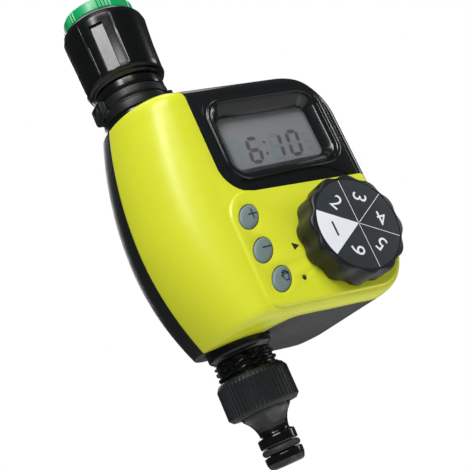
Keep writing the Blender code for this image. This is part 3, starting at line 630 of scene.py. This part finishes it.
def inlet():
    def ribs(r, z, a):
        if r < 16.0:
            return r
        away = abs(near_angle(a, 60, 198))
        if away > 11:
            return r - 0.3
        wave = 0.5 + 0.5 * math.cos(math.radians(away * 360 / 5.5))
        return r - 0.3 + 0.42 * wave
    profile = [(17.2, -0.7), (17.2, -5.7), (16.4, -6.0), (13.1, -6.0), (13.1, -20.0), (12.6, -20.5),
               (7.0, -20.5), (7.0, -16.0), (9.5, -16.0), (9.5, -0.8), (10.3, 0.0), (16.4, 0.0)]
    bush = turned("bush", profile, 576, radius=0.8, shape=ribs)
    part(bush, "reducer_bush", GREEN, "thread_bush")

    def lobes(r, z, a):
        if r < 16.5 or z < -41.0:
            return r
        away = abs(near_angle(a, 90, FACET_TURN))
        fade = min(max((-11.5 - z) / 3, 0), 1) * min(max((z + 38.8) / 2.5, 0), 1)
        line = max(0.0, 1 - abs(away - 22.5) / 1.3)
        sunk = 0.45 if away < 22.5 else 0.0
        return r - fade * sunk + fade * 0.30 * line
    profile = [(16.9, -6.3), (18.4, -6.8), (19.8, -8.6), (20.4, -11.0), (20.4, -13.0), (19.9, -23.0),
               (19.4, -36.5), (19.1, -38.2), (18.3, -39.4), (17.3, -40.0), (17.0, -40.5), (16.3, -41.3),
               (14.5, -41.3), (14.5, -30.0), (15.6, -29.9), (15.6, -23.6), (13.5, -23.5), (13.5, -6.3)]
    nut = turned("nut_inlet", profile, 288, radius=0.9, shape=lobes)
    for i in range(4):
        angle = math.radians(FACET_TURN + 90 * i)
        wedge = [[(x, y, z) for x, y in ((r, -w), (24, -w), (24, w), (r, w))]
                 for r, w, z in ((18.75, 3.1, -14.5), (18.10, 3.0, -37.6))]
        cut(nut, moved(loft("facet", wedge), Matrix.Rotation(angle, 4, "Z"), (0, 0, 0)))
    soften(nut, 0.18, 40)
    part(nut, "inlet_swivel", GLOSS, "inlet_nut", 17)

    ring = [(16.0, -46.6), (16.7, -47.2), (16.7, -50.6), (15.9, -51.4), (15.9, -52.2), (17.0, -53.0),
            (17.0, -57.0), (14.4, -57.0), (14.4, -46.6)]
    clip = turned("clip", ring, 120, radius=0.6)
    for side, y0, y1, z0, z1, reach in ((-1, -3.6, 6.4, -55.4, -46.2, 18.9),
                                        (1, -6.4, 4.0, -54.4, -46.6, 18.2)):
        lug = rounded([(y0, z0, 3.2), (y1, z0, 3.2), (y1, z1, 1.0), (y0, z1, 1.0)], 8)
        add(clip, loft("lug", [[(side * x, y, z) for y, z in lug] for x in (15.3, reach)]))
    cut(clip, boxes("lug_marks", [((-20, -2.4, -49.8), (-18.5, 0.2, -47.2)),
                                  ((-20, 1.2, -49.8), (-18.5, 5.4, -47.2)),
                                  ((17.8, -5.2, -50.0), (19, 2.8, -47.8))]))
    soften(clip, 0.3, 40, 3)
    part(clip, "timer_body", BLACK, "inlet_clip")


# ---------------------------------------------------------------- valve and outlet
def valve_body():
    thread_top, thread_end, pitch = -174.0, -188.6, 2.65
    level_r, root_r, thread_height = 12.6, 12.2, 1.05
    levels = [thread_top - 0.22 * i for i in range(int((thread_top - thread_end) / 0.22) + 1)]
    profile = [(15.2, -23.7), (15.2, -29.4), (14.1, -29.6), (14.1, -41.6), (16.0, -41.8), (16.4, -42.4),
               (16.4, -45.2), (16.0, -46.2), (14.1, -46.4), (14.1, -57.3), (16.9, -57.4), (16.9, -66.0),
               (14.1, -67.0), (14.1, -160.5), (16.2, -161.0), (16.2, -165.6), (14.2, -165.8),
               (14.2, -171.6), (13.9, -172.4), (13.0, -173.0)]
    outline = filleted(profile, 0.4, closed=False) + [(level_r, z) for z in levels]
    outline += [(root_r, -189.2), (11.6, -190.0)]

    def helix(r, z, a):
        if abs(r - level_r) > 0.001 or z > thread_top + 0.01:
            return r
        phase = (z / pitch - a / (2 * math.pi)) % 1.0
        flank = min(max((0.34 - abs(phase - 0.5)) / 0.16, 0), 1)
        ends = min((thread_top - z) / 1.2, (z - thread_end) / 1.2, 1)
        return root_r + thread_height * flank * max(ends, 0)
    steps = 96
    bm = bmesh.new()
    columns = []
    for i in range(steps):
        a = 2 * math.pi * i / steps
        row = [(helix(r, z, a), z) for r, z in outline]
        columns.append([bm.verts.new((r * math.cos(a), r * math.sin(a), z)) for r, z in row])
    for i in range(steps):
        a, b = columns[i], columns[(i + 1) % steps]
        for k in range(len(outline) - 1):
            bm.faces.new((a[k], b[k], b[k + 1], a[k + 1]))
    bm.faces.new([column[0] for column in columns])
    bm.faces.new([column[-1] for column in columns])
    ob = mesh_object("valve", bm)
    add(ob, rods("chamber", [(19.0, (6, 0, VALVE_Z), (PORT_FACE_X, 0, VALVE_Z))], 72))
    cut(ob, rods("inlet_bore", [(7.0, (0, 0, -20), (0, 0, -106))], 48))
    cut(ob, rods("filter_seat", [(9.0, (0, 0, -20), (0, 0, -25.7))], 48))
    cut(ob, rods("passage", [(2.8, (0, 0, VALVE_Z + 13), (20, 0, VALVE_Z + 13))]))
    cut(ob, rods("port", [(5.5, (-4, 0, VALVE_Z), (20, 0, VALVE_Z))]))
    cut(ob, rods("outlet_bore", [(7.0, (0, 0, VALVE_Z), (0, 0, -200))], 48))
    groove = turned("groove", [(15.5, 8.0), (15.5, -5.0), (10.5, -5.0), (10.5, 8.0)], 72, radius=0.01)
    cut(ob, moved(groove, ALONG_X, (PORT_FACE_X, 0, VALVE_Z)))
    angles = [math.radians(45 + 90 * i) for i in range(4)]
    places = [(17.2 * math.cos(a), VALVE_Z + 17.2 * math.sin(a)) for a in angles]
    cut(ob, rods("screw_holes", [(1.7, (9.5, y, z), (20, y, z)) for y, z in places], 20))
    part(ob, "timer_body", GLOSS, "valve_body")


def plunger_spring():
    """Spring behind the plunger, built at one length; the real spring shortens as the plunger lifts."""
    rings = []
    steps = 96
    for i in range(steps + 1):
        a = 6 * math.pi * i / steps
        out = Vector((0, math.cos(a), math.sin(a)))
        centre = Vector((38.75 + 3.95 * i / steps, 0, VALVE_Z)) + out * 2.2
        wire_section = arc((0, 0), (0.3, 0.3), 0, 360, 10)[:-1]
        rings.append([centre + out * x + Vector((z, 0, 0)) for x, z in wire_section])
    ob = skin("spring_plunger", rings)
    part(ob, "timer_body", STEEL, "plunger_spring")
    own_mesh(ob)


def outlet():
    ribs = 54

    def grip(r, z, a):
        if r < 15.3:
            return r
        fade = min(max((-183.6 - z) / 1.4, 0), 1) * min(max((z + 197.4) / 0.9, 0), 1)
        wave = math.cos(ribs * a)
        dip = min(max(0.5 - wave * 0.9, 0), 1)
        return r - 0.5 * fade * dip
    profile = [(13.8, -182.0), (14.5, -182.4), (15.8, -184.4), (15.8, -184.9), (15.8, -196.3), (15.75, -196.9),
               (14.2, -198.4), (11.3, -198.4), (11.3, -195.0), (13.6, -195.0), (13.6, -182.0)]
    nut = turned("nut_outlet", profile, ribs * 8, radius=0.4, shape=grip)
    part(nut, "outlet_swivel", NUT, "outlet_nut")
    profile = [(13.0, -192.8), (13.0, -194.7), (11.0, -194.9), (11.0, -198.6), (10.5, -199.7), (9.6, -200.6),
               (8.7, -201.6), (7.9, -202.9), (7.2, -204.4), (6.7, -206.0), (6.45, -207.6), (6.6, -208.2),
               (7.9, -208.7), (8.2, -209.3), (8.2, -212.4), (7.9, -212.95), (5.3, -213.0),
               (5.3, -216.1), (7.8, -216.15), (8.3, -216.7),
               (8.2, -219.2), (7.4, -221.2), (6.5, -221.8), (4.6, -221.8), (4.0, -221.2), (4.0, -198.0),
               (7.0, -192.8)]
    nipple = turned("nipple", profile, 96, radius=0.5)
    part(nipple, "timer_body", NIPPLE, "hose_nipple")
    ring = [(6.85 + r, z - 214.55) for r, z in arc((0, 0), (1.5, 1.45), 0, 360, 20)[:-1]]
    seal = turned("seal", ring, 96, radius=0.01)
    part(seal, "timer_body", RUBBER, "nipple_seal")


# ---------------------------------------------------------------- dial and keys
# outline of the open hand on the manual key
HAND = ((-0.7, -2.1), (-1.3, -0.9), (-1.9, -0.1), (-1.6, 0.3), (-1.0, -0.2), (-1.3, 1.3), (-0.9, 1.6),
        (-0.5, 0.5), (-0.4, 2.0), (0.1, 2.1), (0.2, 0.6), (0.6, 1.8), (1.0, 1.7), (0.9, 0.4), (1.4, 1.1),
        (1.7, 0.8), (1.2, -0.8), (0.8, -2.1), (-0.7, -2.1))


def dial():
    levels = ((0.0, 0.975, 1.0), (0.25, 0.992, 1.0), (0.8, 1.0, 1.0), (4.0, 1.0, 1.0), (8.0, 1.0, 1.0),
              (10.6, 0.998, 1.0), (11.3, 0.994, 0.98), (11.8, 0.985, 0.92), (12.2, 0.970, 0.80),
              (12.45, 0.950, 0.62), (DIAL_FACE, 0.925, 0.35))
    rings = []
    for height, scale, depth in levels:
        ring = []
        for i in range(288):
            a = 2 * math.pi * i / 288
            dip = (0.5 + 0.5 * math.cos(SCALLOPS * a)) ** 1.3
            r = KNOB_R * scale - SCALLOP_DEPTH * depth * dip
            ring.append((r * math.cos(a), r * math.sin(a), height))
        rings.append(ring)
    knob = loft("knob", rings)
    cut(knob, turned("under", [(19.0, 9.5), (19.0, -2), (6.0, -2), (6.0, 9.5)], 72, radius=0.01))
    cut(knob, rods("bore", [(3.3, (0, 0, -5), (0, 0, 9.6))]))
    cut(knob, rods("label_seat", [(20.45, (0, 0, DIAL_FACE - 0.25), (0, 0, 20))], 144))
    moved(knob, FRONT_FACING, DIAL)
    part(knob, "program_dial", DIAL_BLACK, "dial_knob", 40)
    label = turned("label", [(LABEL_R, 0.14), (LABEL_R, -0.30), (0.3, -0.30), (0.3, 0.14)], 144, radius=0.08)
    cap = DIAL_FACE - 0.28
    part(moved(label, FRONT_FACING, DIAL + Vector((0, -cap, 0))), "program_dial", LABEL, "dial_label")

    top = DIAL.y - cap - 0.14

    def flat(name, outlines, mat, lift):
        """Printed marks: thin closed plates on the label, from (x, z) outlines round its centre."""
        bm = bmesh.new()
        for outline in outlines:
            near = [bm.verts.new((DIAL.x + x, top - lift, DIAL.z + z)) for x, z in outline]
            far = [bm.verts.new((DIAL.x + x, top + 0.05, DIAL.z + z)) for x, z in outline]
            bm.faces.new(near)
            bm.faces.new(far)
            for i in range(len(near)):
                j = (i + 1) % len(near)
                bm.faces.new((near[i], near[j], far[j], far[i]))
        trim(mesh_object(name, bm), "program_dial", mat)

    sector = [(0.0, 0.0)] + [(20.0 * math.cos(math.radians(a)), 20.0 * math.sin(math.radians(a)))
                             for a in [150 + 60 * k / 24 for k in range(25)]]
    flat("dial_sector", [sector], INK, 0.03)
    lines = []
    for a in (90, 30, -30, -90):
        c, s = math.cos(math.radians(a)), math.sin(math.radians(a))
        w = 0.13
        lines.append([(c * 0.4 - s * w, s * 0.4 + c * w), (c * 20 - s * w, s * 20 + c * w),
                      (c * 20 + s * w, s * 20 - c * w), (c * 0.4 + s * w, s * 0.4 - c * w)])
    flat("dial_lines", lines, INK, 0.03)
    for i in range(6):
        direction = 180 - 60 * i
        text = bpy.data.curves.new(f"digit_{i + 1}", "FONT")
        text.body = str(i + 1)
        text.align_x = "CENTER"
        text.align_y = "CENTER"
        text.size = 9.5 * MM
        text.extrude = 0.04 * MM
        made = bpy.data.objects.new(f"digit_{i + 1}", text)
        bpy.context.scene.collection.objects.link(made)
        settled = bpy.data.meshes.new_from_object(made.evaluated_get(bpy.context.evaluated_depsgraph_get()))
        bpy.data.objects.remove(made)
        digit = bpy.data.objects.new(f"dial_digit_{i + 1}", settled)
        bpy.context.scene.collection.objects.link(digit)
        a = math.radians(direction)
        at = (DIAL.x + DIGIT_R * math.cos(a), top - 0.03, DIAL.z + DIGIT_R * math.sin(a))
        turn = Matrix.Rotation(-math.radians(direction - 180), 4, "Y") @ FRONT_FACING
        moved(digit, turn, at)
        trim(digit, "program_dial", MARK if i == 0 else INK)


def keys():
    bodies = {"plus": "plus_key", "minus": "minus_key", "manual": "manual_key"}
    for name, (x, z) in BUTTONS.items():
        levels = ((-37.62, -2.6), (-37.56, -1.5), (-37.40, -0.75), (-37.15, -0.3), (-36.8, -0.05), (-36.4, 0.0),
                  (-33.2, 0.0), (-33.1, 0.9), (-32.0, 0.9))
        rings = [[(x + dx, y, z + dz) for dx, dz in button_outline(grow)] for y, grow in levels]
        cap = loft(f"key_{name}", rings)
        add(cap, rods("stem", [(1.6, (x, -33, z), (x, -28.6, z))]))
        part(cap, bodies[name], KEY, f"button_{name}")
        across = [(-1.9, 0.0), (1.9, 0.0)]
        lines = {"plus": [across, [(0.0, -1.9), (0.0, 1.9)]], "minus": [across], "manual": [HAND]}[name]
        width = 0.17 if name == "manual" else 0.24
        mark = strokes([[(x + 1.7 + a, z + 0.8 + c) for a, c in line] for line in lines], width)
        trim(mark, bodies[name], MARK)


def strokes(lines, half):
    """Printed lines of even width on the key caps, one closed plate for each straight run."""
    bm = bmesh.new()
    for line in lines:
        for start, end in zip(line, line[1:]):
            run = (Vector(end) - Vector(start)).normalized()
            side = Vector((-run.y, run.x)) * half
            tip = run * half
            corners = [Vector(start) - tip - side, Vector(end) + tip - side, Vector(end) + tip + side,
                       Vector(start) - tip + side]
            rows = [[bm.verts.new((c.x, y, c.y)) for c in corners] for y in (-37.72, -37.35)]
            for row in rows:
                bm.faces.new(row)
            for i in range(4):
                j = (i + 1) % 4
                bm.faces.new((rows[0][i], rows[0][j], rows[1][j], rows[1][i]))
    return mesh_object("mark", bm)


def front_marks():
    arrow = prism("arrow", [(20.6, -142.2), (20.9, -145.7), (24.0, -144.1)], PAD_Y - 0.04, PAD_Y + 0.4)
    trim(arrow, "timer_body", MARK)


# ---------------------------------------------------------------- display
def display():
    """Seven-segment clock digits behind the window, lit and unlit."""
    y = -29.94
    height, width, bar, lean = 11.3, 5.4, 1.85, 0.14
    shown = {25.6: "acdefg", 37.6: "bc", 47.6: "abcdef"}
    marks = {"lit": [], "ghost": []}
    base = -101.4

    def segment(kind, x, letter):
        half = height / 2
        spots = {"a": (0, height, width, height), "b": (width, height, width, half),
                 "c": (width, half, width, 0), "d": (0, 0, width, 0), "e": (0, 0, 0, half),
                 "f": (0, half, 0, height), "g": (0, half, width, half)}
        x0, z0, x1, z1 = spots[letter]
        start = Vector((x + x0 + lean * z0, base + z0))
        end = Vector((x + x1 + lean * z1, base + z1))
        run = (end - start).normalized()
        start += run * 0.30
        end -= run * 0.30
        side = Vector((-run.y, run.x)) * bar / 2
        nose = run * bar / 2
        marks[kind].append([start, start + nose + side, end - nose + side, end, end - nose - side,
                              start + nose - side])

    for x in (15.6, 25.6, 37.6, 47.6):
        letters = shown.get(x, "")
        for letter in "abcdefg":
            segment("lit" if letter in letters else "ghost", x, letter)
    for z in (base + 3.1, base + 8.6):
        x = 34.4 + lean * (z - base)
        marks["lit"].append([Vector((x + 0.75 * math.cos(a), z + 0.75 * math.sin(a)))
                               for a in [math.pi * k / 6 for k in range(12)]])
    for k in range(3):
        x = 56.8
        z = base + 1.0 + 3.6 * k
        marks["ghost"].append([Vector(p) for p in ((x, z), (x + 3.2, z), (x + 3.2, z + 1.6), (x, z + 1.6))])
    for kind, mat in (("lit", SEGMENT), ("ghost", GHOST)):
        bm = bmesh.new()
        for outline in marks[kind]:
            near = [bm.verts.new((p.x, y - 0.04, p.y)) for p in outline]
            far = [bm.verts.new((p.x, y + 0.02, p.y)) for p in outline]
            bm.faces.new(near)
            bm.faces.new(far)
            for i in range(len(near)):
                j = (i + 1) % len(near)
                bm.faces.new((near[i], near[j], far[j], far[i]))
        trim(mesh_object(f"segments_{kind}", bm), "timer_body", mat)


def battery_door():
    x0, x1, z0, z1 = DOOR
    y, z = HINGE
    door = boxes("door", [((x0, 33.0, z0), (x1, REAR_Y, z1))])
    add(door, boxes("arm", [((42.0, 33.6, z), (58.0, REAR_Y - 0.05, z0 + 1))]))
    add(door, rods("knuckle", [(KNUCKLE_R, (42.0, y, z), (58.0, y, z))]))
    add(door, boxes("web", [((42.0, 34.2, z - 0.8), (58.0, y, z + 1.9))]))
    cut(door, rods("bore", [(1.1, (30, y, z), (70, y, z))], 20))
    cut(door, boxes("notch", [((45.0, 34.2, z1 - 3), (55.0, 40.0, z1 + 3))]))
    ridges = [((42.0, 34.6, z1 - 6 - 2.2 * k), (58.0, 40.0, z1 - 5 - 2.2 * k)) for k in range(5)]
    cut(door, boxes("grip", ridges))
    soften(door, 0.3, 40)
    part(door, "battery_cover", BLACK, "battery_door")


def carried_over():
    """Materials of the CAD nodes that stay."""
    finishes = {RUBBER: ("tap_washer", "inlet_washer", "diaphragm", "outlet_washer", "battery_seal"),
                MESH: ("filter_screen",),
                BLACK: ("valve_bonnet", "switch_plus", "switch_minus", "switch_manual", "battery_tray"),
                STEEL: ("plunger", "hinge_pin", "contact_spring_1", "contact_spring_2",
                        "contact_plate_1", "contact_plate_2", "board_screw_1", "board_screw_2"),
                COPPER: ("solenoid_coil",), CREAM: ("dial_shaft", "rotary_switch"), SMOKE: ("light_guide",),
                PANE: ("display_window",), GLASS: ("lcd_panel",), BOARD: ("circuit_board",),
                WRAP: ("battery_1", "battery_2")}
    for mat, names in finishes.items():
        for name in names:
            give(name, mat)
    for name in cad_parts:
        if name.startswith(("bonnet_screw", "casing_screw")):
            give(name, STEEL)


def give(name, mat):
    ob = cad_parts[name]
    ob.data.materials.clear()
    ob.data.materials.append(mat)
    ob.data.shade_smooth()
    ob.data.set_sharp_from_angle(angle=math.radians(30))


# ---------------------------------------------------------------- stage, light and camera
def area_light(name, direction, distance, size, power, target=(0.02, 0.0, -0.12)):
    lamp = bpy.data.lights.new(name, "AREA")
    lamp.shape = "RECTANGLE"
    lamp.size, lamp.size_y = size
    lamp.energy = power
    ob = bpy.data.objects.new(name, lamp)
    bpy.context.scene.collection.objects.link(ob)
    aim = Vector(direction).normalized()
    ob.location = Vector(target) + aim * distance
    ob.rotation_euler = aim.to_track_quat("Z", "Y").to_euler()


def stage():
    bm = bmesh.new()
    bmesh.ops.create_grid(bm, x_segments=8, y_segments=8, size=1300)
    floor = mesh_object("floor", bm)
    floor.location = (0, 0, -0.62)
    pale = surface("pale_floor", (0.86, 0.86, 0.86), 0.7, tone=0.01, drift=2.0, grain=60.0, relief=0.02)
    floor.data.materials.append(pale)
    world = bpy.data.worlds.new("pale_room")
    bpy.context.scene.world = world
    world.use_nodes = True
    tree = world.node_tree
    back = tree.nodes["Background"]
    back.inputs["Color"].default_value = (1, 1, 1, 1)
    back.inputs["Strength"].default_value = 1.0
    dim = tree.nodes.new("ShaderNodeBackground")
    dim.inputs["Color"].default_value = (0.93, 0.96, 1.0, 1)
    dim.inputs["Strength"].default_value = 0.07
    rays = tree.nodes.new("ShaderNodeLightPath")
    mix = tree.nodes.new("ShaderNodeMixShader")
    tree.links.new(rays.outputs["Is Camera Ray"], mix.inputs["Fac"])
    tree.links.new(dim.outputs["Background"], mix.inputs[1])
    tree.links.new(back.outputs["Background"], mix.inputs[2])
    tree.links.new(mix.outputs["Shader"], tree.nodes["World Output"].inputs["Surface"])
    area_light("key", (-0.61, -0.62, 0.52), 1.1, (0.18, 0.5), 4)
    area_light("main", (-0.40, -0.85, 0.95), 1.3, (0.8, 0.6), 14)
    area_light("top", (0.1, 0.2, 1.0), 1.2, (0.9, 0.5), 4)
    area_light("right", (1.0, -0.25, 0.20), 1.2, (0.2, 0.7), 3)
    area_light("below", (0.3, -0.2, -1.0), 0.45, (0.6, 0.4), 0.45)
    area_light("rear", (0.3, 1.0, 0.5), 1.3, (0.8, 0.8), 6)


def camera():
    azimuth, elevation, roll = [math.radians(v) for v in CAMERA_ANGLES]
    back = Vector((math.sin(azimuth) * math.cos(elevation), -math.cos(azimuth) * math.cos(elevation),
                   math.sin(elevation)))
    right = Vector((math.cos(azimuth), math.sin(azimuth), 0))
    up = back.cross(right)
    x_axis = right * math.cos(roll) + up * math.sin(roll)
    y_axis = up * math.cos(roll) - right * math.sin(roll)
    lens = bpy.data.cameras.new("camera")
    lens.lens = CAMERA_LENS
    lens.sensor_width = 36.0
    lens.clip_start = 0.01
    lens.clip_end = 50.0
    ob = bpy.data.objects.new("camera", lens)
    bpy.context.scene.collection.objects.link(ob)
    turn = Matrix((x_axis, y_axis, back)).transposed().to_4x4()
    target = Vector(CAMERA_TARGET) * MM
    ob.matrix_world = Matrix.Translation(target + back * CAMERA_DISTANCE * MM) @ turn
    bpy.context.scene.camera = ob


bpy.context.scene.view_settings.view_transform = "Standard"
front_casing()
display_bezel()
rear_casing()
inlet()
valve_body()
plunger_spring()
outlet()
dial()
keys()
front_marks()
display()
battery_door()
carried_over()
stage()
camera()
